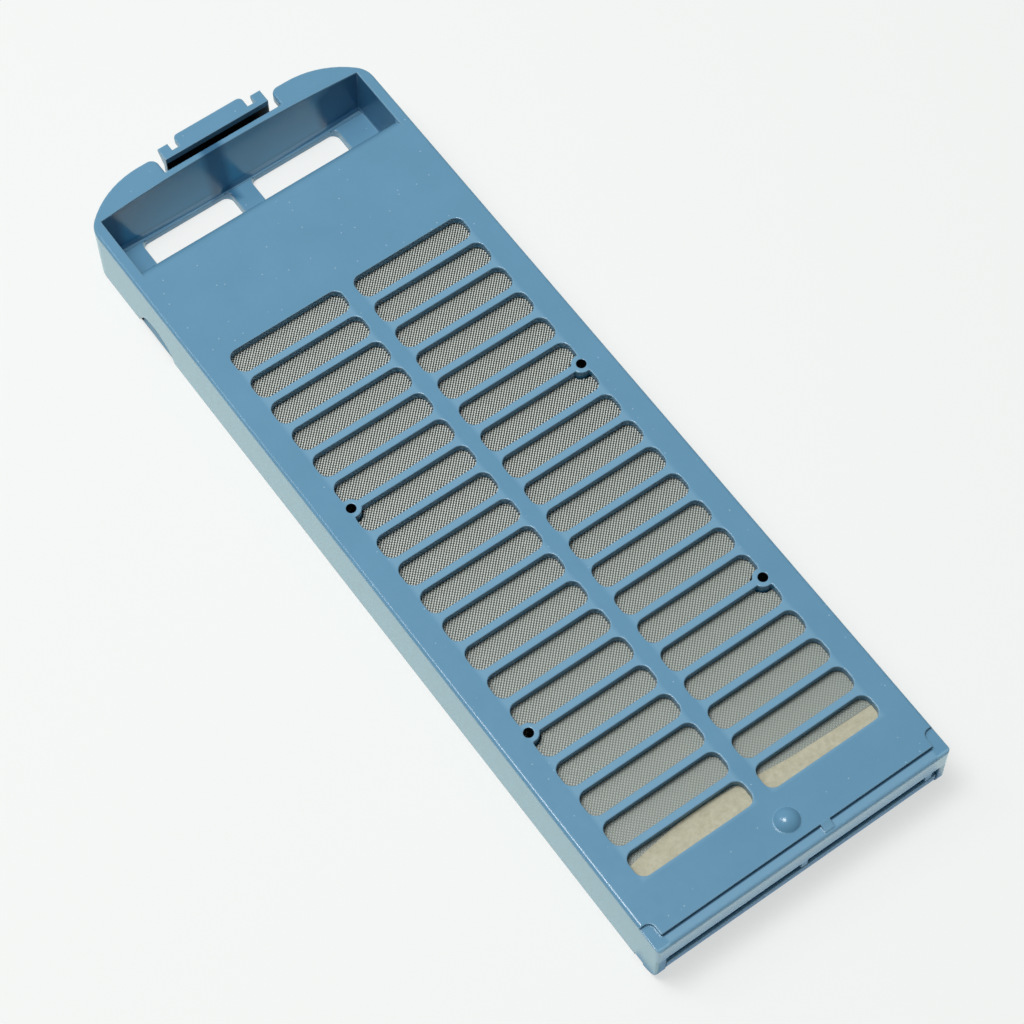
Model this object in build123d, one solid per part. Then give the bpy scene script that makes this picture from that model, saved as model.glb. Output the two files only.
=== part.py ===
"""Lint filter of a top-loading washing machine: a blue two-part moulded case with a fine woven screen.

The filter lies on its back with the grille face up.  X runs across it, Y runs from the hinge end to the
handle end, and Z is its depth.  The origin is under the middle of the whole part, on the back plane.
Distances along the length are given from the hinge end and turned into Y by y_at().  Millimetres.
"""

import os
from math import acos, cos, degrees, radians

from build123d import *

# Case
CASE_WIDTH = 74.4
CASE_DEPTH = 16.5
CASE_LENGTH = 217.4
WALL = 2.2
PLATE = 2.0
TOP_EDGE_ROUND = 0.7
END_CORNER_ROUND = 0.9
END_UNDERSIDE_ROUND = 4.5
HANDLE_UNDERSIDE_ROUND = 3.0

# Handle end: far wall of the finger well and the two flat ears that overhang it
EAR_OVERHANG = 4.7
EAR_THICKNESS = 2.6
EAR_RADIUS = 22.0
EAR_FLAT_HALF = 20.0
EAR_CORNER_ROUND = 6.0
EAR_TIP_ROUND = 2.0
LATCH_BAY_HALF = 15.6

# Finger well, with two windows through its floor
WELL_SIDE_WALL = 2.7
WELL_FAR_WALL = 3.0
WELL_LENGTH = 14.7
WELL_TOP_BOW = 1.4
WELL_FOOT_BOW = 0.7
WELL_SIDE_DRAFT = 0.3
WELL_FLOOR = 2.5
ROLL_RADIUS = 4.5
WINDOW_INNER = 2.75
WINDOW_OUTER = 26.7
WINDOW_LENGTH = 13.65
WINDOW_ROUND = 2.0
BAR_SETBACK = 0.1
BAR_EDGE_BREAK = 0.4
LEDGE_DROP = 0.8

# Grille slots
SLOT_ROWS = 19
SLOT_PITCH = 8.0
FIRST_ROW = 17.3
SLOT_LENGTH = 29.2
SLOT_WIDTH = 6.3
SLOT_ROUND = 2.3
COLUMN_SPACING = 32.5

# Cored posts at the outer ends of the slots, each between two rows
POST_ROWS = (4, 12)
POST_INSET = 0.65
POST_BORE = 2.2
POST_COLLAR = 4.5
POST_LENGTH = 5.0
POST_FLOOR = 1.0

# Hinge end: lowered strip with a small ramp, lip, ribs over the inlet gap, and the button
STRIP_WIDTH = 2.7
STRIP_STEP = 0.7
STRIP_EAR_LENGTH = 6.3
STRIP_EAR_WIDTH = 2.7
STRIP_EAR_ROUND = 1.6
RAMP_X = 6.6
RAMP_WIDTH = 2.4
RAMP_RUN = 2.2
LIP = 1.8
LIP_LOWER_EDGE = 9.9
LIP_ROUND = 0.8
RIB_WIDTH = 1.6
RIB_DEPTH = 1.6
END_RIB_FROM_WALL = 2.8
BUTTON_X = 0.6
BUTTON_FROM_END = 7.35
BUTTON_DIAMETER = 5.75
BUTTON_HEIGHT = 1.5

# Finger notches in the lower edge of both side walls
NOTCH_FROM_COVER_END = 4.8
NOTCH_RADIUS = 7.5
NOTCH_HEIGHT = 5.6
SLIT_FROM_END = 5.8
SLIT_LENGTH = 2.8
SLIT_HEIGHT = 0.8

# Hinged rear cover
HINGE_FROM_END = 2.5
HINGE_HEIGHT = 5.1
BARREL_RADIUS = 2.2
PIN_RADIUS = 1.2
PIN_REACH = 1.2
PIN_CLEARANCE = 0.06
KNUCKLE_WIDTH = 1.2
COVER_SIDE_CLEARANCE = 0.35
COVER_END_CLEARANCE = 2.4
COVER_FRONT = 0.2
COVER_LIP = 1.0
COVER_LIP_RISE = 1.3
COVER_PANEL = 1.6
COVER_FLANGE = 1.5
COVER_FLANGE_HEIGHT = 9.0
FLANGE_FROM_ROLL = 1.5
RIB_CLEARANCE = 0.35

# Woven screen and the hem along its lower end
SCREEN_SIDE_CLEARANCE = 1.6
SCREEN_THICKNESS = 0.5
SCREEN_GAP = 0.1
SCREEN_LOWER_END = 9.0
SCREEN_PAST_LAST_ROW = 7.7
HEM_EDGE_LEFT = 19.5
HEM_EDGE_RIGHT = 17.7
POST_HOLE_CLEARANCE = 0.2

# Release latch
LATCH_HALF_WIDTH = 13.8
LATCH_GAP = 2.4
LATCH_THICKNESS = 1.4
LATCH_OVERHANG = 2.3
PAD_HALF_WIDTH = 9.2
PAD_THICKNESS = 1.6
PAD_CORNER_ROUND = 1.2
CATCH_WIDTH = 2.6
CATCH_REACH = 2.1
CATCH_HEIGHT = 3.6
CATCH_FLAT = 1.0
BEAD_RADIUS = 1.2
BEAD_HEIGHT = 2.4
BEAD_CLEARANCE = 0.08
SHELF_BELOW_BEAD = 1.2
SHELF_ABOVE_BEAD = 0.8

# Values that follow from the sizes above
HALF_WIDTH = CASE_WIDTH / 2
INNER_HALF = HALF_WIDTH - WALL
PLATE_UNDERSIDE = CASE_DEPTH - PLATE
FAR_WALL_FACE = CASE_LENGTH - EAR_OVERHANG
LATCH_REACH = CASE_LENGTH + LATCH_OVERHANG
WELL_HALF_WIDTH = HALF_WIDTH - WELL_SIDE_WALL
WELL_FAR_CORNER = FAR_WALL_FACE - WELL_FAR_WALL
WELL_NEAR_FACE = WELL_FAR_CORNER - WELL_LENGTH
WINDOW_FAR_EDGE = WELL_NEAR_FACE + WINDOW_LENGTH
CHAMBER_END = WELL_NEAR_FACE - WALL
COVER_HALF = INNER_HALF - COVER_SIDE_CLEARANCE
COVER_END = CHAMBER_END - COVER_END_CLEARANCE
LAST_ROW = FIRST_ROW + (SLOT_ROWS - 1) * SLOT_PITCH
POST_X = (COLUMN_SPACING + SLOT_LENGTH) / 2 - POST_INSET
POST_DISTANCES = [FIRST_ROW + (row + 0.5) * SLOT_PITCH for row in POST_ROWS]
SCREEN_HALF_WIDTH = INNER_HALF - SCREEN_SIDE_CLEARANCE
SCREEN_UPPER_END = LAST_ROW + SCREEN_PAST_LAST_ROW
LATCH_INNER_FACE = FAR_WALL_FACE + LATCH_GAP
LATCH_OUTER_FACE = LATCH_INNER_FACE + LATCH_THICKNESS
BEAD_FROM_END = LATCH_OUTER_FACE - BEAD_RADIUS
PAST = 1.0


def y_at(distance):
    """Y of a point that lies this far from the hinge end."""
    return distance - LATCH_REACH / 2


def block(x_low, x_high, near, far, z_low, z_high):
    """Box between two X values, two distances from the hinge end and two heights."""
    size = Box(x_high - x_low, far - near, z_high - z_low, align=(Align.MIN, Align.MIN, Align.MIN))
    return Pos(x_low, y_at(near), z_low) * size


def rod(radius, x_low, x_high, distance, height):
    """Round bar along X."""
    bar = Cylinder(radius, x_high - x_low, align=(Align.CENTER, Align.CENTER, Align.MIN))
    return Pos(x_low, y_at(distance), height) * Rot(0, 90, 0) * bar


def side_profile(face, half_width):
    """A face drawn in the Y-Z plane, drawn out to both sides of the middle."""
    return extrude(face, half_width, both=True)


def on_side(distance, height):
    """A point of a profile in the Y-Z plane."""
    return Vector(0, y_at(distance), height)


def case_outline():
    """Plan of the case: straight sides, then ears that curve in to a flat tip."""
    arc_end = degrees(acos((HALF_WIDTH - EAR_FLAT_HALF) / EAR_RADIUS))
    arc_level = y_at(CASE_LENGTH - EAR_RADIUS)
    right_arc = CenterArc((EAR_FLAT_HALF, arc_level), EAR_RADIUS, arc_end, 90 - arc_end)
    left_arc = CenterArc((-EAR_FLAT_HALF, arc_level), EAR_RADIUS, 90, 90 - arc_end)
    plan = Face(Wire([
        Line((-HALF_WIDTH, y_at(0)), (HALF_WIDTH, y_at(0))),
        Line((HALF_WIDTH, y_at(0)), right_arc @ 0),
        right_arc,
        Line(right_arc @ 1, left_arc @ 0),
        left_arc,
        Line(left_arc @ 1, (-HALF_WIDTH, y_at(0))),
    ]))
    shoulders = [v for v in plan.vertices() if abs(v.Y - (right_arc @ 0).Y) < 0.01]
    plan = fillet(shoulders, EAR_CORNER_ROUND)
    return fillet(plan.vertices().group_by(Axis.Y)[0], END_CORNER_ROUND)


def strip_in_plan(x_low, x_high, near, far):
    """Rectangle in plan between two X values and two distances from the hinge end."""
    size = Rectangle(x_high - x_low, far - near, align=(Align.MIN, Align.MIN))
    return Pos(x_low, y_at(near)) * size


def end_round(near, far, centre, radius):
    """What a round lower edge takes off an end of the case."""
    corner = block(-CASE_WIDTH, CASE_WIDTH, near, far, -PAST, radius)
    return corner - rod(radius, -CASE_WIDTH, CASE_WIDTH, centre, radius)


def case_shell_block():
    """Solid block of the case with the thin ears standing out past its far wall."""
    plan = case_outline()
    body_plan = plan & strip_in_plan(-CASE_WIDTH, CASE_WIDTH, -PAST, FAR_WALL_FACE)
    bay = strip_in_plan(-LATCH_BAY_HALF, LATCH_BAY_HALF, FAR_WALL_FACE, CASE_LENGTH + PAST)
    ear_plan = plan - bay
    tips = [v for v in ear_plan.vertices()
            if abs(abs(v.X) - LATCH_BAY_HALF) < 0.01 and abs(v.Y - y_at(CASE_LENGTH)) < 0.01]
    ear_plan = fillet(tips, EAR_TIP_ROUND)
    body = extrude(body_plan, CASE_DEPTH)
    ears = Pos(0, 0, CASE_DEPTH - EAR_THICKNESS) * extrude(ear_plan, EAR_THICKNESS)
    case = body + ears
    case = fillet(case.edges().group_by(Axis.Z)[-1], TOP_EDGE_ROUND)
    hinge_end = end_round(-PAST, END_UNDERSIDE_ROUND, END_UNDERSIDE_ROUND, END_UNDERSIDE_ROUND)
    handle_round = FAR_WALL_FACE - HANDLE_UNDERSIDE_ROUND
    handle_end = end_round(handle_round, FAR_WALL_FACE + PAST, handle_round, HANDLE_UNDERSIDE_ROUND)
    return case - hinge_end - handle_end


def chamber():
    """Lint space behind the grille plate, open at the back; its upper end follows the rolled edge."""
    space = block(-INNER_HALF, INNER_HALF, LIP, CHAMBER_END, -PAST, PLATE_UNDERSIDE)
    top_end = space.edges().filter_by(Axis.X).group_by(Axis.Z)[-1].sort_by(Axis.Y)[-1]
    space = fillet(top_end, ROLL_RADIUS - WALL)
    inlet = block(-INNER_HALF, INNER_HALF, -PAST, LIP + PAST, -PAST, LIP_LOWER_EDGE)
    return space + inlet


def well_plan(half_width, bow):
    """Plan of the well at one height, with its far wall bowed."""
    near = y_at(WELL_NEAR_FACE - 2 * ROLL_RADIUS)
    far = y_at(WELL_FAR_CORNER)
    return Face(Wire([
        Line((-half_width, near), (-half_width, far)),
        ThreePointArc((-half_width, far), (0, far + bow), (half_width, far)),
        Line((half_width, far), (half_width, near)),
        Line((half_width, near), (-half_width, near)),
    ]))


def finger_well():
    """Space of the handle well: the plate rolls down into it, and its far wall leans over at the middle."""
    ledge = WELL_FLOOR - LEDGE_DROP
    foot = Pos(0, 0, ledge) * well_plan(WELL_HALF_WIDTH - WELL_SIDE_DRAFT, -WELL_FOOT_BOW)
    rim = Pos(0, 0, CASE_DEPTH) * well_plan(WELL_HALF_WIDTH, WELL_TOP_BOW)
    space = loft([foot, rim], ruled=True)
    roll_start = WELL_NEAR_FACE - ROLL_RADIUS
    roll_end = on_side(WELL_NEAR_FACE, CASE_DEPTH - ROLL_RADIUS)
    roll_top = on_side(roll_start, CASE_DEPTH)
    bend = cos(radians(45)) * ROLL_RADIUS
    roll_middle = on_side(roll_start + bend, CASE_DEPTH - ROLL_RADIUS + bend)
    bar_end = WINDOW_FAR_EDGE - BAR_SETBACK
    below_roll = Wire.make_polygon([
        roll_top,
        on_side(CASE_LENGTH, CASE_DEPTH),
        on_side(CASE_LENGTH, ledge),
        on_side(bar_end, ledge),
        on_side(bar_end, WELL_FLOOR - BAR_EDGE_BREAK),
        on_side(bar_end - BAR_EDGE_BREAK, WELL_FLOOR),
        on_side(WELL_NEAR_FACE, WELL_FLOOR),
        roll_end,
    ], close=False)
    profile = Face(Wire([ThreePointArc(roll_end, roll_middle, roll_top), *below_roll.edges()]))
    return space & side_profile(profile, HALF_WIDTH)


def grip_windows():
    """Two windows through the floor of the well, round at their far corners."""
    opening = strip_in_plan(WINDOW_INNER, WINDOW_OUTER, WELL_NEAR_FACE, WINDOW_FAR_EDGE)
    far_corners = opening.vertices().group_by(Axis.Y)[-1]
    opening = fillet(far_corners, WINDOW_ROUND)
    right = Pos(0, 0, -PAST) * extrude(opening, WELL_FLOOR + 2 * PAST)
    return right + mirror(right, Plane.YZ)


def slot_plan():
    """All grille slots in plan, held back where a post stands beside them."""
    middle_row = (FIRST_ROW + LAST_ROW) / 2
    places = GridLocations(COLUMN_SPACING, SLOT_PITCH, 2, SLOT_ROWS)
    slots = Sketch() + [place * RectangleRounded(SLOT_LENGTH, SLOT_WIDTH, SLOT_ROUND) for place in places]
    collars = [Pos(x, y) * Circle(POST_COLLAR / 2) for x, y in post_places()]
    return Pos(0, y_at(middle_row)) * slots - collars


def post_places():
    """X and Y of the four posts."""
    return [(side * POST_X, y_at(distance)) for distance in POST_DISTANCES for side in (-1, 1)]


def slot_cutter():
    """Slots through the plate."""
    return Pos(0, 0, PLATE_UNDERSIDE - PAST) * extrude(slot_plan(), PLATE + 2 * PAST)


def posts():
    """Round posts under the plate."""
    post = Cylinder(POST_COLLAR / 2, POST_LENGTH, align=(Align.CENTER, Align.CENTER, Align.MAX))
    return [Pos(x, y, PLATE_UNDERSIDE) * post for x, y in post_places()]


def post_bores():
    """Blind bores from the face into the posts."""
    depth = PLATE + POST_LENGTH - POST_FLOOR
    bore = Cylinder(POST_BORE / 2, depth, align=(Align.CENTER, Align.CENTER, Align.MAX))
    return [Pos(x, y, CASE_DEPTH) * bore for x, y in post_places()]


def hinge_strip():
    """Layer taken off the face along the hinge end, with a round-ended tongue up each corner."""
    ear = strip_in_plan(HALF_WIDTH - STRIP_EAR_WIDTH, HALF_WIDTH + PAST, -PAST, STRIP_EAR_LENGTH)
    inner_corner = ear.vertices().group_by(Axis.Y)[-1].sort_by(Axis.X)[0]
    ear = fillet(inner_corner, STRIP_EAR_ROUND)
    strip = strip_in_plan(-HALF_WIDTH - PAST, HALF_WIDTH + PAST, -PAST, STRIP_WIDTH)
    plan = strip + ear + mirror(ear, Plane.YZ)
    return Pos(0, 0, CASE_DEPTH - STRIP_STEP) * extrude(plan, STRIP_STEP + PAST)


def lip_round():
    """What the round upper edge of the lip takes off."""
    low = CASE_DEPTH - STRIP_STEP
    corner = block(-CASE_WIDTH, CASE_WIDTH, -PAST, LIP_ROUND, low - LIP_ROUND, low + PAST)
    return corner - rod(LIP_ROUND, -CASE_WIDTH, CASE_WIDTH, LIP_ROUND, low - LIP_ROUND)


def strip_ramp():
    """Small ramp that fills the step down to the strip, beside the button."""
    low = CASE_DEPTH - STRIP_STEP
    profile = Face(Wire.make_polygon([
        on_side(STRIP_WIDTH, CASE_DEPTH),
        on_side(STRIP_WIDTH, low),
        on_side(STRIP_WIDTH - RAMP_RUN, low),
    ]))
    return Pos(RAMP_X, 0, 0) * side_profile(profile, RAMP_WIDTH / 2)


def inlet_ribs():
    """Ribs that stand down from the lip over the inlet gap, just clear of the cover as it swings."""
    foot = HINGE_HEIGHT + BARREL_RADIUS + RIB_CLEARANCE
    half = RIB_WIDTH / 2
    places = [0, INNER_HALF - END_RIB_FROM_WALL]
    return [block(x - half, x + half, 0, RIB_DEPTH, foot, LIP_LOWER_EDGE) for x in places]


def button():
    """Low round button on the face."""
    radius = ((BUTTON_DIAMETER / 2) ** 2 + BUTTON_HEIGHT**2) / (2 * BUTTON_HEIGHT)
    ball = Pos(BUTTON_X, y_at(BUTTON_FROM_END), CASE_DEPTH + BUTTON_HEIGHT - radius) * Sphere(radius)
    keep = block(BUTTON_X - radius, BUTTON_X + radius, BUTTON_FROM_END - radius, BUTTON_FROM_END + radius,
                 CASE_DEPTH - PLATE / 2, CASE_DEPTH + 2 * BUTTON_HEIGHT)
    return ball & keep


def wall_notches():
    """Finger notches, and the short slits near the hinge, in the lower edges of both side walls."""
    inside = INNER_HALF - PAST
    outside = HALF_WIDTH + PAST
    notch_place = COVER_END - NOTCH_FROM_COVER_END
    notch = rod(NOTCH_RADIUS, inside, outside, notch_place, NOTCH_HEIGHT - NOTCH_RADIUS)
    slit_start = SLIT_FROM_END - SLIT_LENGTH / 2
    slit = block(inside, outside, slit_start, slit_start + SLIT_LENGTH, -PAST, SLIT_HEIGHT)
    right = notch + slit
    return [right, mirror(right, Plane.YZ)]


def hinge_sockets():
    """Blind holes in the side walls for the cover's pins."""
    radius = PIN_RADIUS + PIN_CLEARANCE
    depth = PIN_REACH + COVER_SIDE_CLEARANCE
    right = rod(radius, INNER_HALF - PAST, INNER_HALF + depth, HINGE_FROM_END, HINGE_HEIGHT)
    return [right, mirror(right, Plane.YZ)]


def latch_shelf():
    """Shelf behind the far wall that carries the latch, hollowed for its root bead."""
    shelf = block(-LATCH_HALF_WIDTH, LATCH_HALF_WIDTH, FAR_WALL_FACE - PAST, BEAD_FROM_END,
                  BEAD_HEIGHT - SHELF_BELOW_BEAD, BEAD_HEIGHT + SHELF_ABOVE_BEAD)
    return shelf - rod(BEAD_RADIUS + BEAD_CLEARANCE, -HALF_WIDTH, HALF_WIDTH, BEAD_FROM_END, BEAD_HEIGHT)


def front_case():
    """The main moulding: grille plate, side walls, finger well, ears and hinge-end lip."""
    case = case_shell_block() - chamber() - finger_well() - grip_windows()
    case = case + posts() + inlet_ribs() + latch_shelf()
    case = case - slot_cutter() - post_bores() - hinge_strip() + strip_ramp() - lip_round()
    case = case - wall_notches() - hinge_sockets()
    return case + button()


def cover_profile():
    """Section of the cover along its length: a flat panel that rolls up into a low lip at the hinge end."""
    outer = END_UNDERSIDE_ROUND
    inner = outer - COVER_PANEL
    shoulder = outer + COVER_LIP_RISE
    lip_back = COVER_FRONT + COVER_LIP
    lip_middle = (COVER_FRONT + lip_back) / 2
    outer_centre = COVER_FRONT + outer
    inner_centre = lip_back + inner
    bend = 1 - cos(radians(45))
    return Face(Wire([
        Line(on_side(COVER_END, 0), on_side(outer_centre, 0)),
        ThreePointArc(on_side(outer_centre, 0), on_side(COVER_FRONT + bend * outer, bend * outer),
                      on_side(COVER_FRONT, outer)),
        Line(on_side(COVER_FRONT, outer), on_side(COVER_FRONT, shoulder)),
        ThreePointArc(on_side(COVER_FRONT, shoulder), on_side(lip_middle, shoulder + COVER_LIP / 2),
                      on_side(lip_back, shoulder)),
        Line(on_side(lip_back, shoulder), on_side(lip_back, outer)),
        ThreePointArc(on_side(lip_back, outer), on_side(lip_back + bend * inner, COVER_PANEL + bend * inner),
                      on_side(inner_centre, COVER_PANEL)),
        Line(on_side(inner_centre, COVER_PANEL), on_side(COVER_END, COVER_PANEL)),
        Line(on_side(COVER_END, COVER_PANEL), on_side(COVER_END, 0)),
    ]))


def cover_knuckle():
    """Round knuckle at one side of the cover, with the hinge pin standing out of it."""
    inside = COVER_HALF - KNUCKLE_WIDTH
    barrel = rod(BARREL_RADIUS, inside, COVER_HALF, HINGE_FROM_END, HINGE_HEIGHT)
    web = block(inside, COVER_HALF, HINGE_FROM_END, HINGE_FROM_END + BARREL_RADIUS,
                COVER_PANEL / 2, HINGE_HEIGHT)
    pin = rod(PIN_RADIUS, COVER_HALF - PAST, INNER_HALF + PIN_REACH, HINGE_FROM_END, HINGE_HEIGHT)
    return barrel + web + pin


def rear_cover():
    """Hinged back of the case: a shallow tray, rolled up at the hinge end, with a knuckle at each side."""
    flange_start = COVER_FRONT + END_UNDERSIDE_ROUND + FLANGE_FROM_ROLL
    flange = block(COVER_HALF - COVER_FLANGE, COVER_HALF, flange_start, COVER_END, 0, COVER_FLANGE_HEIGHT)
    end_wall = block(-COVER_HALF, COVER_HALF, COVER_END - COVER_FLANGE, COVER_END, 0, COVER_FLANGE_HEIGHT)
    side = flange + cover_knuckle()
    return side_profile(cover_profile(), COVER_HALF) + side + mirror(side, Plane.YZ) + end_wall


def screen_outline(left_near, right_near, left_far, right_far):
    """Plan of a strip across the case whose ends may run at a slant."""
    return Face(Wire.make_polygon([
        (-SCREEN_HALF_WIDTH, y_at(left_near)),
        (SCREEN_HALF_WIDTH, y_at(right_near)),
        (SCREEN_HALF_WIDTH, y_at(right_far)),
        (-SCREEN_HALF_WIDTH, y_at(left_far)),
    ]))


def under_plate(plan):
    """A thin sheet just under the grille plate, with holes where the posts pass."""
    sheet = extrude(plan, SCREEN_THICKNESS)
    hole = Cylinder(POST_COLLAR / 2 + POST_HOLE_CLEARANCE, 4 * SCREEN_THICKNESS)
    sheet = sheet - [Pos(x, y) * hole for x, y in post_places()]
    return Pos(0, 0, PLATE_UNDERSIDE - SCREEN_GAP - SCREEN_THICKNESS) * sheet


def mesh_screen():
    """Woven screen behind the slots, as a plain sheet."""
    return under_plate(screen_outline(HEM_EDGE_LEFT, HEM_EDGE_RIGHT, SCREEN_UPPER_END, SCREEN_UPPER_END))


def screen_hem():
    """Sealed band along the screen's lower end."""
    return under_plate(screen_outline(SCREEN_LOWER_END, SCREEN_LOWER_END, HEM_EDGE_LEFT, HEM_EDGE_RIGHT))


def latch_catch():
    """Catch at one end of the latch: flat on top, sloping back into the tongue below."""
    top = CASE_DEPTH
    tip = LATCH_OUTER_FACE + CATCH_REACH
    profile = Face(Wire.make_polygon([
        on_side(LATCH_INNER_FACE, top),
        on_side(tip, top),
        on_side(tip, top - CATCH_FLAT),
        on_side(LATCH_OUTER_FACE, top - CATCH_HEIGHT),
        on_side(LATCH_INNER_FACE, top - CATCH_HEIGHT),
    ]))
    middle = LATCH_HALF_WIDTH - CATCH_WIDTH / 2
    return Pos(middle, 0, 0) * side_profile(profile, CATCH_WIDTH / 2)


def release_latch():
    """Springy tongue behind the far wall, with a press pad and a catch at each end."""
    tongue = block(-LATCH_HALF_WIDTH, LATCH_HALF_WIDTH, LATCH_INNER_FACE, LATCH_OUTER_FACE,
                   BEAD_HEIGHT, CASE_DEPTH)
    bead = rod(BEAD_RADIUS, -LATCH_HALF_WIDTH, LATCH_HALF_WIDTH, BEAD_FROM_END, BEAD_HEIGHT)
    pad_plan = strip_in_plan(-PAD_HALF_WIDTH, PAD_HALF_WIDTH, LATCH_INNER_FACE, LATCH_REACH)
    pad_plan = fillet(pad_plan.vertices().group_by(Axis.Y)[-1], PAD_CORNER_ROUND)
    pad = Pos(0, 0, CASE_DEPTH - PAD_THICKNESS) * extrude(pad_plan, PAD_THICKNESS)
    catch = latch_catch()
    return tongue + bead + pad + catch + mirror(catch, Plane.YZ)


PIECES = {
    "front_case": front_case,
    "rear_cover": rear_cover,
    "mesh_screen": mesh_screen,
    "screen_hem": screen_hem,
    "release_latch": release_latch,
}

os.makedirs("parts", exist_ok=True)
for name, make in PIECES.items():
    export_step(make(), f"parts/{name}.step")
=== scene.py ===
# %% [markdown]
# A washing machine's lint filter, photographed on white paper.
# The case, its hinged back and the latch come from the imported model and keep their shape.
# This lesson gives them a satin blue plastic, weaves the screen behind the slots thread by thread,
# lays the sealed hem over its lower end, and sets the camera and the soft light of the photograph.

# %% Load the frame
import math

import bmesh
import bpy
from mathutils import Euler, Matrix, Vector


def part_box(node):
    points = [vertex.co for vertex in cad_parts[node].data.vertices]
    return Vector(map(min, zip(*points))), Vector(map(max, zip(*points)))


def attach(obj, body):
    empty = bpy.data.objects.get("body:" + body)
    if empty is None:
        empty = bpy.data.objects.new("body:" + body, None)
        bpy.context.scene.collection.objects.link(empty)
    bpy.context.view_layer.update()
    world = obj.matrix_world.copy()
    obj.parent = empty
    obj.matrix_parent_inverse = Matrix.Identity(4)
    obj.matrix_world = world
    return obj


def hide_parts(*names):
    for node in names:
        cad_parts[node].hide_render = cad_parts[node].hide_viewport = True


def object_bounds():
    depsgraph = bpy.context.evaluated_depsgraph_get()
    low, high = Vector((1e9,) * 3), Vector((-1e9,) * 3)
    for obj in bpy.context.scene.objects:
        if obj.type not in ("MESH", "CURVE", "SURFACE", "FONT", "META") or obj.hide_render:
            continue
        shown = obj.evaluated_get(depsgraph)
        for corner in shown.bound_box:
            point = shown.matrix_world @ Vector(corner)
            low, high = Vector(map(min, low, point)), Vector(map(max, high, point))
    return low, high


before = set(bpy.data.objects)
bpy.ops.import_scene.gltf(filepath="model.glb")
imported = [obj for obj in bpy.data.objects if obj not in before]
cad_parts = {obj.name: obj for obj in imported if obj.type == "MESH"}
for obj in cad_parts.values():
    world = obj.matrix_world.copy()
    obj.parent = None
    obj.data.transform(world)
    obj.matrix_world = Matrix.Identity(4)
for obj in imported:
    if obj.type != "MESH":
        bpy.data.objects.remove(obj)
cad_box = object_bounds()
MM = 0.001
print("nodes:", sorted(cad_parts))

# %% [markdown]
# The camera stands where the photographer stood: above the hinge end, to the left.
# A camera can be aimed with a Track To constraint, but the photograph has a slight roll,
# so the place and the three turns are written down, and a long lens gives its mild perspective.

# %% Camera
CAMERA_PLACE = Vector((-0.1812, -0.2693, 0.6039))
CAMERA_TURN = Euler((math.radians(27.960), math.radians(0.497), math.radians(-35.744)))
LENS_MM = 110.67

camera_data = bpy.data.cameras.new("camera")
camera_data.lens = LENS_MM
camera_data.sensor_width = 36.0
camera_data.clip_start = 0.01
camera = bpy.data.objects.new("camera", camera_data)
camera.location = CAMERA_PLACE
camera.rotation_euler = CAMERA_TURN
bpy.context.scene.collection.objects.link(camera)
bpy.context.scene.camera = camera
print("camera at", tuple(round(x, 3) for x in CAMERA_PLACE))

# %% [markdown]
# Every finish below is a small node tree. A few helpers keep the trees short: one starts a material,
# one adds a node with its settings, and the others read a place in millimetres, mask a box around it,
# and mix colours. Painting the marks on an image would be another way, but it needs an unwrapped mesh.

# %% Node helpers


def start_finish(name):
    """A new material, its node tree and its main shader."""
    finish = bpy.data.materials.new(name)
    finish.use_nodes = True
    return finish, finish.node_tree, finish.node_tree.nodes["Principled BSDF"]


def add_node(tree, kind, settings=None, **sockets):
    """A node with some of its settings and input sockets filled in."""
    node = tree.nodes.new(kind)
    for name, value in (settings or {}).items():
        setattr(node, name, value)
    for name, value in sockets.items():
        node.inputs[name.replace("_", " ")].default_value = value
    return node


def in_mm(tree):
    """Object coordinates in millimetres."""
    place = add_node(tree, "ShaderNodeTexCoord")
    scale = add_node(tree, "ShaderNodeVectorMath", {"operation": "SCALE"}, Scale=1 / MM)
    tree.links.new(place.outputs["Object"], scale.inputs[0])
    return scale.outputs["Vector"]


def ramp_between(tree, value, low, high, low_colour, high_colour):
    """A colour ramp from one colour at low to another at high."""
    ramp = add_node(tree, "ShaderNodeValToRGB")
    ramp.color_ramp.elements[0].position = low
    ramp.color_ramp.elements[0].color = low_colour
    ramp.color_ramp.elements[1].position = high
    ramp.color_ramp.elements[1].color = high_colour
    tree.links.new(value, ramp.inputs["Fac"])
    return ramp.outputs["Color"]


def map_to(tree, value, low, high, low_result=0.0, high_result=1.0):
    """A value from low to high turned into one from low_result to high_result."""
    share = add_node(tree, "ShaderNodeMapRange", From_Min=low, From_Max=high,
                     To_Min=low_result, To_Max=high_result)
    tree.links.new(value, share.inputs["Value"])
    return share.outputs["Result"]


def split(tree, vector):
    """The X, Y and Z of a vector."""
    parts = add_node(tree, "ShaderNodeSeparateXYZ")
    tree.links.new(vector, parts.inputs["Vector"])
    return parts.outputs["X"], parts.outputs["Y"], parts.outputs["Z"]


def combine(tree, operation, first, second):
    """Two numbers joined by one operation."""
    node = add_node(tree, "ShaderNodeMath", {"operation": operation})
    tree.links.new(first, node.inputs[0])
    tree.links.new(second, node.inputs[1])
    return node.outputs["Value"]


def fold(tree, place, middle, offset):
    """A place mirrored into one quarter about a middle, counted from an offset in that quarter."""
    moved = add_node(tree, "ShaderNodeVectorMath", {"operation": "SUBTRACT"})
    moved.inputs[1].default_value = middle
    folded = add_node(tree, "ShaderNodeVectorMath", {"operation": "ABSOLUTE"})
    counted = add_node(tree, "ShaderNodeVectorMath", {"operation": "SUBTRACT"})
    counted.inputs[1].default_value = offset
    tree.links.new(place, moved.inputs[0])
    tree.links.new(moved.outputs["Vector"], folded.inputs[0])
    tree.links.new(folded.outputs["Vector"], counted.inputs[0])
    return counted.outputs["Vector"]


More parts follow.
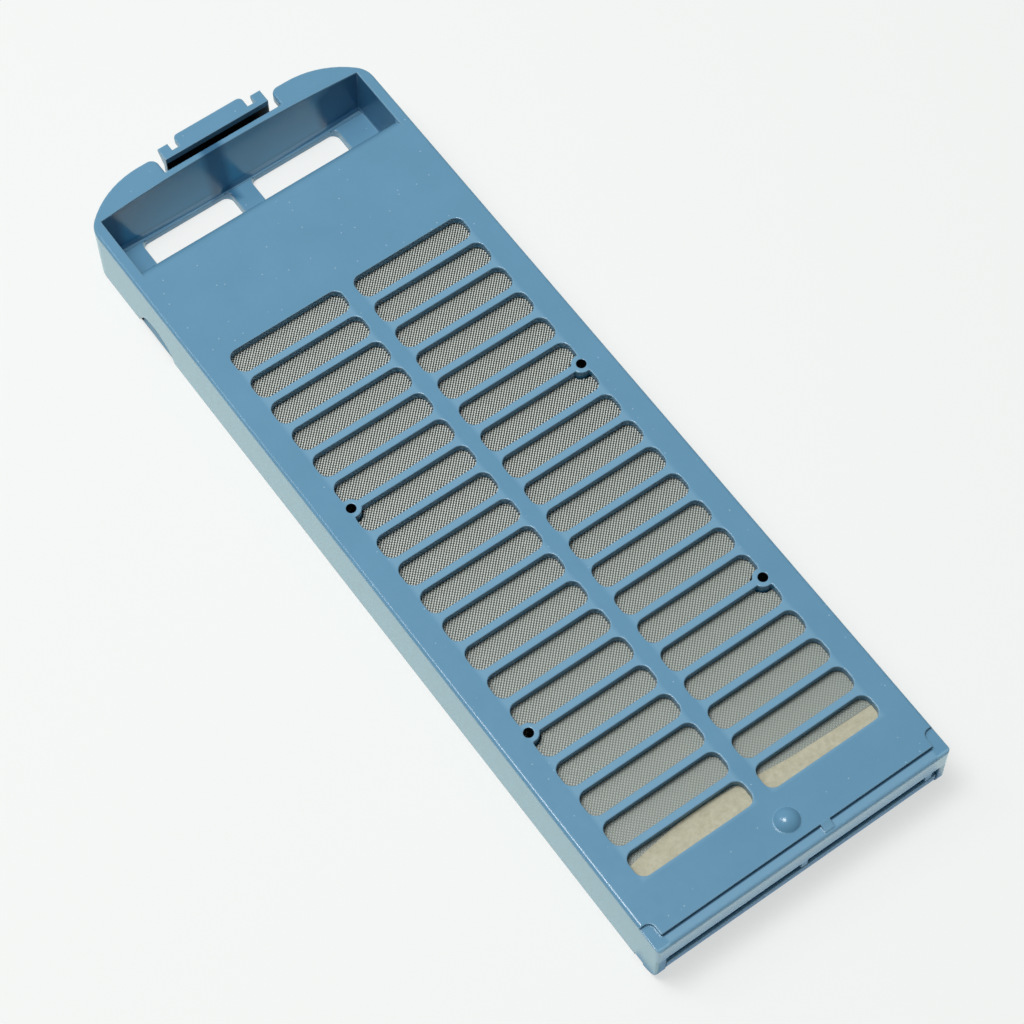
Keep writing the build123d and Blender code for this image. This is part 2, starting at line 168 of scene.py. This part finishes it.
def inside_box(tree, place, middle, half_size, blur=0.1):
    """One inside a box and zero outside it, with a little blur between."""
    x, y, z = split(tree, fold(tree, place, middle, half_size))
    past = combine(tree, "MAXIMUM", combine(tree, "MAXIMUM", x, y), z)
    return map_to(tree, past, blur, -blur)


def blend(tree, share, first, second_colour):
    """One colour socket mixed with a second, plain colour."""
    mix = add_node(tree, "ShaderNodeMixRGB", Color2=second_colour)
    tree.links.new(share, mix.inputs["Fac"])
    tree.links.new(first, mix.inputs["Color1"])
    return mix.outputs["Color"]


print("node helpers ready")

# %% [markdown]
# The photograph has one soft light almost straight overhead, a weaker one from the far left that
# draws thin bright lines on the edges, and a dim room that is darkest behind the camera. A sun lamp
# would give hard shadows, so area lamps are used, and the world brightens upwards and away from the
# camera. Standard view transform keeps the colours as they are written.

# %% Light
bpy.context.scene.view_settings.view_transform = "Standard"
ROOM_COLOUR = (0.84, 0.95, 1.0, 1.0)
ROOM_LEVEL = 0.08
ROOM_RISE = Vector((0.0, 0.12, 0.22))
CEILING_LAMP_PLACE = (-0.20, 0.14, 1.00)
CEILING_LAMP_SIZE = 0.42
CEILING_LAMP_WATTS = 6.9
LEFT_LAMP_PLACE = (-0.45, 0.60, 0.90)
LEFT_LAMP_SIZE = 0.30
LEFT_LAMP_WATTS = 1.0


def room_light():
    """A dim world that brightens towards the ceiling and away from the camera."""
    world = bpy.data.worlds.new("room")
    world.use_nodes = True
    tree = world.node_tree
    background = tree.nodes["Background"]
    background.inputs["Color"].default_value = ROOM_COLOUR
    direction = add_node(tree, "ShaderNodeTexCoord")
    rise = add_node(tree, "ShaderNodeVectorMath", {"operation": "DOT_PRODUCT"})
    rise.inputs[1].default_value = ROOM_RISE
    tree.links.new(direction.outputs["Generated"], rise.inputs[0])
    level = add_node(tree, "ShaderNodeMath", {"operation": "ADD", "use_clamp": True})
    level.inputs[1].default_value = ROOM_LEVEL
    tree.links.new(rise.outputs["Value"], level.inputs[0])
    tree.links.new(level.outputs["Value"], background.inputs["Strength"])
    return world


def soft_lamp(name, place, size, watts):
    """A square area lamp that looks at the middle of the object."""
    data = bpy.data.lights.new(name, "AREA")
    data.size = size
    data.energy = watts
    lamp = bpy.data.objects.new(name, data)
    lamp.location = place
    lamp.rotation_euler = Vector(place).to_track_quat("Z", "Y").to_euler()
    bpy.context.scene.collection.objects.link(lamp)
    return lamp


bpy.context.scene.world = room_light()
soft_lamp("ceiling_lamp", CEILING_LAMP_PLACE, CEILING_LAMP_SIZE, CEILING_LAMP_WATTS)
soft_lamp("left_lamp", LEFT_LAMP_PLACE, LEFT_LAMP_SIZE, LEFT_LAMP_WATTS)

# %% [markdown]
# The paper that the filter lies on is one large plane just under it. In the photograph it is almost
# burnt out and keeps only a soft shadow, so the camera sees it part plain white and part lit. The gloss
# of the plastic mirrors the paper close by, which is bluish from light that has bounced off the plastic.
# Close to the hinge end the mirrored paper lies in the shadow of the lip, so it is dimmer there.

# %% Paper
FLOOR_SIZE = 4.0
FLOOR_GAP = 0.1 * MM
PAPER_COLOUR = (0.90, 0.91, 0.89, 1.0)
PAPER_WHITE = (0.99, 1.0, 0.98, 1.0)
PAPER_MIRRORED = (0.87, 1.0, 0.97, 1.0)
PAPER_BY_HINGE = (0.34, 0.47, 0.64, 1.0)
WHITE_SHARE = 0.61
HINGE_SHADOW = Vector((0.0, -108.0, 0.0)), Vector((38.0, 5.2, 100.0))


def white_paper():
    """Matt paper that looks part burnt out to the camera and white in reflections."""
    finish, tree, shader = start_finish("paper")
    shader.inputs["Base Color"].default_value = PAPER_COLOUR
    shader.inputs["Roughness"].default_value = 0.9
    shader.inputs["Specular IOR Level"].default_value = 0.0
    path = add_node(tree, "ShaderNodeLightPath")
    mirrored = combine(tree, "MAXIMUM", path.outputs["Is Glossy Ray"], path.outputs["Is Transmission Ray"])

    shaded = inside_box(tree, in_mm(tree), *HINGE_SHADOW, blur=0.6)
    tone = add_node(tree, "ShaderNodeMixRGB", Color1=PAPER_WHITE, Color2=PAPER_MIRRORED)
    tree.links.new(mirrored, tone.inputs["Fac"])
    by_hinge = combine(tree, "MULTIPLY", mirrored, shaded)
    white = add_node(tree, "ShaderNodeEmission")
    tree.links.new(blend(tree, by_hinge, tone.outputs["Color"], PAPER_BY_HINGE), white.inputs["Color"])

    share = add_node(tree, "ShaderNodeMath", {"operation": "MULTIPLY_ADD"})
    tree.links.new(path.outputs["Is Camera Ray"], share.inputs[0])
    share.inputs[1].default_value = WHITE_SHARE
    tree.links.new(mirrored, share.inputs[2])
    both = add_node(tree, "ShaderNodeMixShader")
    tree.links.new(share.outputs["Value"], both.inputs[0])
    tree.links.new(shader.outputs["BSDF"], both.inputs[1])
    tree.links.new(white.outputs["Emission"], both.inputs[2])
    tree.links.new(both.outputs["Shader"], tree.nodes["Material Output"].inputs["Surface"])
    return finish


floor_mesh = bpy.data.meshes.new("paper")
shape = bmesh.new()
bmesh.ops.create_grid(shape, x_segments=1, y_segments=1, size=FLOOR_SIZE / 2)
shape.to_mesh(floor_mesh)
shape.free()
floor = bpy.data.objects.new("paper", floor_mesh)
floor.location.z = cad_box[0].z - FLOOR_GAP
bpy.context.scene.collection.objects.link(floor)
floor_mesh.materials.append(white_paper())
print("paper at z", round(floor.location.z, 5))

# %% [markdown]
# The case is a satin blue moulding. Its colour clouds very slightly, pale dust specks lie in it, and
# its gloss changes a little from place to place. A mould never leaves an edge quite sharp: the Bevel
# node rounds the light there without touching the mesh, and where it leans on upward faces the edge is
# painted paler, a painted highlight that is partly wear. The outer walls, which slide in the machine,
# are polished with a coat, and their colour carries a painted sheen, palest on the lip; the bars between
# the slots and the strip at the hinge end are painted lighter as a painted highlight; the walls of the
# slots and of the finger well are painted dark as painted shade, with painted bounce light opposite the
# windows; the step at the hinge strip gets a painted shadow line; and the post bores and latch gap are
# painted black as painted shade.
# Each mark lies in a box, written as its middle and half its size in millimetres, and the list of
# marks gives each box its tone and the blur of its border. The rear cover has none of these marks.

# %% Blue plastic
BLUE_DEEP = (0.144, 0.332, 0.494, 1.0)
BLUE_PALE = (0.154, 0.350, 0.520, 1.0)
SPECK = (0.36, 0.54, 0.68, 1.0)
# painted highlight, partly wear: the paler tone given to rounded edges of upward faces
EDGE_WEAR_AND_HIGHLIGHT = (0.28, 0.50, 0.66, 1.0)
# painted sheen: the greener tint of the coated outer walls, where they mirror the bright paper
OUTER_SHEEN_TINT = (0.125, 0.350, 0.480, 1.0)
# painted sheen: the pale lip face, which mirrors the bright paper
LIP_PAINTED_SHEEN = (0.260, 0.500, 0.680, 1.0)
# painted highlight: the lighter tone of the bars between the slots and of the hinge strip
PAINTED_HIGHLIGHT_BLUE = (0.205, 0.407, 0.575, 1.0)
# painted shade: the dark walls of the slots
SLOT_WALL_SHADE = (0.052, 0.210, 0.350, 1.0)
# painted shade: the dark walls of the finger well
WELL_WALL_SHADE = (0.045, 0.157, 0.285, 1.0)
# painted light: the lighter wall of the well opposite the windows, where the paper bounces light onto it
WELL_BOUNCE_LIGHT = (0.072, 0.310, 0.505, 1.0)
# painted shadow: the dark line along the step at the hinge strip
STEP_SHADOW_LINE = (0.030, 0.105, 0.190, 1.0)
# painted shade: the black of the deep post bores and the latch gap
DEEP_SHADE_BLACK = (0.006, 0.007, 0.010, 1.0)
EDGE_ROUND = 0.50 * MM
COAT_SHARE = 0.40
COAT_ROUGHNESS = 0.22
SMOOTHEST = 0.13
ROUGHEST = 0.25
PLASTIC_IOR = 1.52

WITHIN_SIDES = Vector((0.0, 0.0, 0.0)), Vector((36.5, 200.0, 100.0))
LIP = Vector((0.0, -110.0, 12.8)), Vector((40.0, 0.9, 3.2))
UPPER_EDGE = 15.8
UPPER_EDGE_FADE = 0.4
SLOT_FIELD = Vector((0.0, -23.0, 16.6)), Vector((30.7, 73.0, 0.7))
MIDDLE_RIB = Vector((0.0, -23.0, 16.6)), Vector((2.0, 80.0, 1.5))
STRIP = Vector((0.0, -108.5, 15.8)), Vector((34.0, 1.5, 0.6))
STEP_CORNER = Vector((0.0, -107.35, 15.75)), Vector((34.2, 0.22, 0.35))
WALL_BY_WINDOWS = Vector((-3.25, 99.5, 9.4)), Vector((26.75, 3.0, 5.9))
WALL_BETWEEN = Vector((-4.0, 99.5, 9.4)), Vector((2.6, 4.0, 8.0))
WELL_WALLS = Vector((0.0, 92.4, 9.7)), Vector((34.7, 8.0, 6.3))
SLOT_WALLS = Vector((0.0, -16.0, 15.0)), Vector((31.2, 81.0, 1.1))
LATCH_GAP = Vector((0.0, 104.05, 7.5)), Vector((13.9, 1.35, 7.3))
POST_MIDDLE = Vector((0.0, -24.55, 0.0))
POST_OFFSET = Vector((30.2, 32.0, 0.0))
POST_BORE_RADIUS = 1.1

# Each box below paints sheen, highlight, shade, shadow or bounce light into the colour.
MARKS = (
    (LIP, LIP_PAINTED_SHEEN, 0.1),
    (STRIP, PAINTED_HIGHLIGHT_BLUE, 0.3),
    (STEP_CORNER, STEP_SHADOW_LINE, 0.1),
    (WELL_WALLS, WELL_WALL_SHADE, 0.1),
    (WALL_BY_WINDOWS, WELL_BOUNCE_LIGHT, 1.0),
    (WALL_BETWEEN, WELL_WALL_SHADE, 1.0),
    (SLOT_WALLS, SLOT_WALL_SHADE, 0.1),
    (LATCH_GAP, DEEP_SHADE_BLACK, 0.1),
)


def clouded_blue(tree, place):
    """The blue with its faint clouds and pale specks."""
    clouds = add_node(tree, "ShaderNodeTexNoise", Scale=0.06, Detail=4.0, Roughness=0.6)
    tree.links.new(place, clouds.inputs["Vector"])
    blue = ramp_between(tree, clouds.outputs["Fac"], 0.35, 0.65, BLUE_DEEP, BLUE_PALE)
    specks = add_node(tree, "ShaderNodeTexVoronoi", Scale=0.4)
    tree.links.new(place, specks.inputs["Vector"])
    return blend(tree, map_to(tree, specks.outputs["Distance"], 0.080, 0.045), blue, SPECK)


def highlit_edge_share(tree, rounded):
    """Rises to one on edges of upper faces, where the rounded normal leans away from the flat one."""
    flat = add_node(tree, "ShaderNodeNewGeometry")
    lean = add_node(tree, "ShaderNodeVectorMath", {"operation": "DOT_PRODUCT"})
    tree.links.new(flat.outputs["Normal"], lean.inputs[0])
    tree.links.new(rounded, lean.inputs[1])
    edge = map_to(tree, lean.outputs["Value"], 0.99, 0.84)
    facing = add_node(tree, "ShaderNodeTexCoord")
    upward = map_to(tree, split(tree, facing.outputs["Normal"])[2], 0.3, 0.7)
    return combine(tree, "MULTIPLY", edge, upward)


def outer_share(tree, place):
    """One on the outer side walls and the lip below their upper edge, zero elsewhere."""
    sides = map_to(tree, inside_box(tree, place, *WITHIN_SIDES), 1.0, 0.0)
    below_edge = map_to(tree, split(tree, place)[2], UPPER_EDGE, UPPER_EDGE - UPPER_EDGE_FADE)
    walls = combine(tree, "MAXIMUM", sides, inside_box(tree, place, *LIP))
    return combine(tree, "MULTIPLY", walls, below_edge)


def bar_share(tree, place):
    """One on the bars between the slots, zero on the rib down the middle and elsewhere."""
    beside_rib = map_to(tree, inside_box(tree, place, *MIDDLE_RIB, blur=0.5), 1.0, 0.0)
    return combine(tree, "MULTIPLY", inside_box(tree, place, *SLOT_FIELD, blur=0.5), beside_rib)


def bore_share(tree, place):
    """One in the four post bores, which lie mirrored about one middle."""
    x, y = split(tree, fold(tree, place, POST_MIDDLE, POST_OFFSET))[:2]
    in_plan = add_node(tree, "ShaderNodeCombineXYZ")
    tree.links.new(x, in_plan.inputs["X"])
    tree.links.new(y, in_plan.inputs["Y"])
    distance = add_node(tree, "ShaderNodeVectorMath", {"operation": "LENGTH"})
    tree.links.new(in_plan.outputs["Vector"], distance.inputs[0])
    return map_to(tree, distance.outputs["Value"], POST_BORE_RADIUS + 0.10, POST_BORE_RADIUS + 0.02)


def with_painted_light_and_shade(tree, place, colour):
    """The colour with the case's painted sheen, painted highlights, painted shade and painted bounce
    light.
    """
    # outer walls: a painted sheen tint over the real coat
    colour = blend(tree, outer_share(tree, place), colour, OUTER_SHEEN_TINT)
    # bars between the slots: a painted highlight
    colour = blend(tree, bar_share(tree, place), colour, PAINTED_HIGHLIGHT_BLUE)
    for box, tone, blur in MARKS:
        colour = blend(tree, inside_box(tree, place, *box, blur=blur), colour, tone)
    # post bores: painted black shade
    return blend(tree, bore_share(tree, place), colour, DEEP_SHADE_BLACK)


def blue_plastic(name, has_marks):
    """The finish of a moulding, with the marks of the case or without them."""
    finish, tree, shader = start_finish(name)
    place = in_mm(tree)
    edges = add_node(tree, "ShaderNodeBevel", {"samples": 8}, Radius=EDGE_ROUND)
    # upward edges painted paler: a painted highlight, partly wear
    colour = blend(tree, highlit_edge_share(tree, edges.outputs["Normal"]), clouded_blue(tree, place), EDGE_WEAR_AND_HIGHLIGHT)
    if has_marks:
        colour = with_painted_light_and_shade(tree, place, colour)
        coat = map_to(tree, outer_share(tree, place), 0.0, 1.0, 0.0, COAT_SHARE)
        tree.links.new(coat, shader.inputs["Coat Weight"])
        shader.inputs["Coat Roughness"].default_value = COAT_ROUGHNESS
    tree.links.new(colour, shader.inputs["Base Color"])

    rub = add_node(tree, "ShaderNodeTexNoise", Scale=0.5, Detail=3.0)
    tree.links.new(place, rub.inputs["Vector"])
    gloss = map_to(tree, rub.outputs["Fac"], 0.0, 1.0, SMOOTHEST, ROUGHEST)
    tree.links.new(gloss, shader.inputs["Roughness"])
    shader.inputs["IOR"].default_value = PLASTIC_IOR

    grain = add_node(tree, "ShaderNodeTexNoise", Scale=3.0, Detail=2.0)
    tree.links.new(place, grain.inputs["Vector"])
    bump = add_node(tree, "ShaderNodeBump", Strength=0.06, Distance=0.02 * MM)
    tree.links.new(grain.outputs["Fac"], bump.inputs["Height"])
    tree.links.new(edges.outputs["Normal"], bump.inputs["Normal"])
    tree.links.new(bump.outputs["Normal"], shader.inputs["Normal"])
    return finish


case_plastic = blue_plastic("case_plastic", True)
cover_plastic = blue_plastic("cover_plastic", False)
finishes = {"front_case": case_plastic, "release_latch": case_plastic, "rear_cover": cover_plastic}
for name, finish in finishes.items():
    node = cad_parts[name]
    node.data.materials.clear()
    node.data.materials.append(finish)
print("blue plastic on three mouldings")

# %% [markdown]
# In each finger notch of the side walls a leaning tab of the rear cover shows, which a finger pulls to
# open it. Its outline follows the round of the notch with a small gap. A Boolean could cut it from a
# block, but a grid folded into the four corners of its section is shorter, and a Mirror modifier makes
# the tab on the other side.

# %% Finger tabs
NOTCH_MIDDLE_Y = 75.75
NOTCH_MIDDLE_Z = -1.9
TAB_RADIUS = 7.1
TAB_ENDS = (69.4, 82.0)
TAB_LOWER_EDGE = 1.6
TAB_STEPS = 16
TAB_INNER_X = -34.6
TAB_TOP_X = -36.2
TAB_FOOT_X = -37.15

shape = bmesh.new()
made = bmesh.ops.create_grid(shape, x_segments=TAB_STEPS, y_segments=3, size=0.5)
for vertex in made["verts"]:
    y = TAB_ENDS[0] + (TAB_ENDS[1] - TAB_ENDS[0]) * (vertex.co.x + 0.5)
    top = NOTCH_MIDDLE_Z + math.sqrt(TAB_RADIUS ** 2 - (y - NOTCH_MIDDLE_Y) ** 2)
    corners = ((TAB_FOOT_X, TAB_LOWER_EDGE), (TAB_TOP_X, top),
               (TAB_INNER_X, top), (TAB_INNER_X, TAB_LOWER_EDGE))
    x, z = corners[round((vertex.co.y + 0.5) * 3)]
    vertex.co = Vector((x, y, z)) * MM
bmesh.ops.holes_fill(shape, edges=shape.edges)
bmesh.ops.recalc_face_normals(shape, faces=shape.faces)
tab_mesh = bpy.data.meshes.new("finger_tabs")
shape.to_mesh(tab_mesh)
shape.free()
tabs = bpy.data.objects.new("finger_tabs", tab_mesh)
bpy.context.scene.collection.objects.link(tabs)
tabs.modifiers.new("other_side", "MIRROR")
tab_mesh.materials.append(cover_plastic)
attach(tabs, "cover")
print("finger tabs from y", TAB_ENDS[0], "to", TAB_ENDS[1], "mm")

# %% [markdown]
# The screen is a plain weave of round threads about 0.4 mm apart. A bump texture would look flat
# from the side, so each thread is a narrow strip with a raised crown that climbs over one crossing
# and dives under the next. Two neighbouring threads, one half a wave ahead of the other, are
# modelled, and an Array modifier lays the pair side by side across the screen.

# %% Threads
THREAD_PITCH = 0.397 * MM
THREAD_WIDTH = 0.35 * MM
THREAD_CROWN = 0.04 * MM
THREAD_CLIMB = 0.07 * MM

screen_low, screen_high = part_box("mesh_screen")
screen_middle = (screen_low + screen_high) / 2


def thread_pair(name, along, across, crossings, start, pairs, first_over):
    """Two neighbouring threads of a plain weave, repeated side by side."""
    length = crossings * THREAD_PITCH
    shape = bmesh.new()
    for side in (0, 1):
        made = bmesh.ops.create_grid(shape, x_segments=crossings, y_segments=2, size=0.5)
        for vertex in made["verts"]:
            step = round((vertex.co.x + 0.5) * crossings)
            over = (step + side + first_over) % 2
            climb = THREAD_CLIMB if over else -THREAD_CLIMB
            crown = THREAD_CROWN if abs(vertex.co.y) < 0.25 else 0.0
            run = (vertex.co.x + 0.5) * length
            offset = vertex.co.y * THREAD_WIDTH + side * THREAD_PITCH
            vertex.co = start + along * run + across * offset + Vector((0, 0, climb + crown))
    for face in shape.faces:
        face.smooth = True
    bmesh.ops.recalc_face_normals(shape, faces=shape.faces)
    mesh = bpy.data.meshes.new(name)
    shape.to_mesh(mesh)
    shape.free()
    strand = bpy.data.objects.new(name, mesh)
    bpy.context.scene.collection.objects.link(strand)
    repeat = strand.modifiers.new("side_by_side", "ARRAY")
    repeat.use_relative_offset = False
    repeat.use_constant_offset = True
    repeat.constant_offset_displace = across * (2 * THREAD_PITCH)
    repeat.count = pairs
    return strand


def whole_pairs(width):
    """How many thread pairs fit in a width."""
    return int(width / (2 * THREAD_PITCH))


ACROSS = Vector((1, 0, 0))
ALONG = Vector((0, 1, 0))
screen_width = screen_high.x - screen_low.x
screen_length = screen_high.y - screen_low.y
warp_pairs = whole_pairs(screen_width)
weft_pairs = whole_pairs(screen_length)
warp_crossings = 2 * weft_pairs - 1
weft_crossings = 2 * warp_pairs - 1
corner = Vector((
    -THREAD_PITCH * weft_crossings / 2,
    screen_middle.y - THREAD_PITCH * warp_crossings / 2,
    screen_middle.z,
))

strands = []
half = warp_pairs // 2
for name, first, pairs in (("warp_left", 0, half), ("warp_right", half, warp_pairs - half)):
    start = corner + ACROSS * (2 * THREAD_PITCH * first)
    strands.append(thread_pair("screen_" + name, ALONG, ACROSS, warp_crossings, start, pairs, 0))
half = weft_pairs // 2
for name, first, pairs in (("weft_lower", 0, half), ("weft_upper", half, weft_pairs - half)):
    start = corner + ALONG * (2 * THREAD_PITCH * first)
    strands.append(thread_pair("screen_" + name, ACROSS, ALONG, weft_crossings, start, pairs, 1))
print("threads:", 2 * warp_pairs, "along,", 2 * weft_pairs, "across")

# %% [markdown]
# The four posts pass through the screen. A Boolean modifier is slow on so many threads, so the
# repeated threads are laid out as one mesh and the points inside the four holes are deleted.

# %% Post holes
POST_HOLE_RADIUS = 2.45


def in_post_hole(point):
    """Whether a point lies inside one of the four holes for the posts."""
    x = abs(point.x / MM - POST_MIDDLE.x) - POST_OFFSET.x
    y = abs(point.y / MM - POST_MIDDLE.y) - POST_OFFSET.y
    return math.hypot(x, y) < POST_HOLE_RADIUS


bpy.context.view_layer.update()
for strand in strands:
    repeated = strand.evaluated_get(bpy.context.evaluated_depsgraph_get())
    shape = bmesh.new()
    shape.from_mesh(repeated.to_mesh())
    repeated.to_mesh_clear()
    cut = [v for v in shape.verts if in_post_hole(v.co)]
    bmesh.ops.delete(shape, geom=cut, context="VERTS")
    strand.modifiers.clear()
    shape.to_mesh(strand.data)
    shape.free()
    print(strand.name, "lost", len(cut), "points to the holes")

# %% [markdown]
# The threads are twisted nylon. Those along the filter are pale and those across it are painted much
# darker, the same nylon in a lit and a painted-shade tone. Slanting streaks of painted sheen cross both,
# which draws the fine diagonal pattern. A noise would not keep step with the weave, so the streaks are
# a sine of the thread spacing. Towards the hem both are greyer and the pattern fades.

# %% Nylon
WARP_COLOURS = ((0.378, 0.417, 0.377, 1.0), (0.475, 0.505, 0.467, 1.0))
# painted shade: across the filter the same nylon is painted much darker than along it
WEFT_COLOURS = ((0.310, 0.330, 0.286, 1.0), (0.058, 0.060, 0.048, 1.0))
GREYED_UP_TO = -95.0
FULL_CONTRAST_FROM = -2.0
# depth of the painted sheen streaks
SHEEN_STREAK_DEPTH = 0.7


def painted_sheen_streaks(tree, place):
    """Slanting painted sheen streaks from -1 to 1, brightest where a thread along the filter is on top."""
    turn = math.pi * MM / THREAD_PITCH
    slant = add_node(tree, "ShaderNodeVectorMath", {"operation": "DOT_PRODUCT"})
    slant.inputs[1].default_value = (-turn, turn, 0.0)
    tree.links.new(place, slant.inputs[0])
    phase = add_node(tree, "ShaderNodeMath", {"operation": "ADD"})
    phase.inputs[1].default_value = turn * (corner.x - corner.y) / MM - math.pi / 2
    tree.links.new(slant.outputs["Value"], phase.inputs[0])
    streak = add_node(tree, "ShaderNodeMath", {"operation": "SINE"})
    tree.links.new(phase.outputs["Value"], streak.inputs[0])
    return streak.outputs["Value"]


def nylon(name, greyed, full_contrast):
    """Thread colour from greyed to full contrast along the filter, with the painted sheen streaks."""
    finish, tree, shader = start_finish(name)
    place = in_mm(tree)
    share = map_to(tree, split(tree, place)[1], GREYED_UP_TO, FULL_CONTRAST_FROM)
    colour = ramp_between(tree, share, 0.0, 1.0, greyed, full_contrast)
    depth = add_node(tree, "ShaderNodeMath", {"operation": "MULTIPLY"})
    depth.inputs[1].default_value = SHEEN_STREAK_DEPTH
    tree.links.new(share, depth.inputs[0])
    swing = add_node(tree, "ShaderNodeMath", {"operation": "MULTIPLY_ADD"})
    swing.inputs[2].default_value = 1.0
    tree.links.new(painted_sheen_streaks(tree, place), swing.inputs[0])
    tree.links.new(depth.outputs["Value"], swing.inputs[1])
    streaked = add_node(tree, "ShaderNodeVectorMath", {"operation": "SCALE"})
    tree.links.new(colour, streaked.inputs[0])
    tree.links.new(swing.outputs["Value"], streaked.inputs["Scale"])
    tree.links.new(streaked.outputs["Vector"], shader.inputs["Base Color"])
    shader.inputs["Roughness"].default_value = 0.4
    return finish


warp_finish = nylon("warp_nylon", *WARP_COLOURS)
weft_finish = nylon("weft_nylon", *WEFT_COLOURS)
for strand in strands:
    strand.data.materials.append(warp_finish if "warp" in strand.name else weft_finish)
    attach(strand, "case")
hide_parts("mesh_screen")
print("woven screen:", [s.name for s in strands])

# %% [markdown]
# Along its lower end the screen is sealed into a beige band. It is a thin sheet whose upper edge
# was cut by hand and bows up left of the middle, so the rows of a grid are stretched to that edge
# and the grid is given a thickness.

# %% Hem
hem_low, hem_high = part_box("screen_hem")
HEM_EDGE = ((-33.4, 9.0), (-26.0, 10.2), (-17.0, 11.3), (-9.0, 11.4),
            (0.0, 10.5), (10.0, 9.4), (22.0, 9.0), (33.4, 8.8))
HEM_THICKNESS = 0.30 * MM
HEM_INSET = 0.02 * MM
HEM_DARK = (0.50, 0.46, 0.32, 1.0)
HEM_PALE = (0.64, 0.60, 0.44, 1.0)


def hem_length(x):
    """Length of the band at one place across it, straight between the measured points."""
    for (x0, l0), (x1, l1) in zip(HEM_EDGE, HEM_EDGE[1:]):
        if x <= x1 * MM:
            break
    return (l0 + (l1 - l0) * (x / MM - x0) / (x1 - x0)) * MM


shape = bmesh.new()
made = bmesh.ops.create_grid(shape, x_segments=66, y_segments=10, size=0.5)
for vertex in made["verts"]:
    x = hem_low.x + (hem_high.x - hem_low.x) * (vertex.co.x + 0.5)
    y = hem_low.y + hem_length(x) * (vertex.co.y + 0.5)
    vertex.co = Vector((x, y, hem_high.z - HEM_INSET))
hem_mesh = bpy.data.meshes.new("hem_band")
shape.to_mesh(hem_mesh)
shape.free()
hem = bpy.data.objects.new("hem_band", hem_mesh)
bpy.context.scene.collection.objects.link(hem)
body = hem.modifiers.new("thickness", "SOLIDIFY")
body.thickness = HEM_THICKNESS
body.offset = -1.0


def sealed_cloth():
    """Beige cloth with the blotches of the sealing."""
    finish, tree, shader = start_finish("sealed_cloth")
    place = in_mm(tree)
    blotch = add_node(tree, "ShaderNodeTexNoise", Scale=0.8, Detail=5.0, Roughness=0.65)
    tree.links.new(place, blotch.inputs["Vector"])
    colour = ramp_between(tree, blotch.outputs["Fac"], 0.3, 0.7, HEM_DARK, HEM_PALE)
    tree.links.new(colour, shader.inputs["Base Color"])
    shader.inputs["Roughness"].default_value = 0.7
    return finish


hem_mesh.materials.append(sealed_cloth())
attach(hem, "case")
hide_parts("screen_hem")
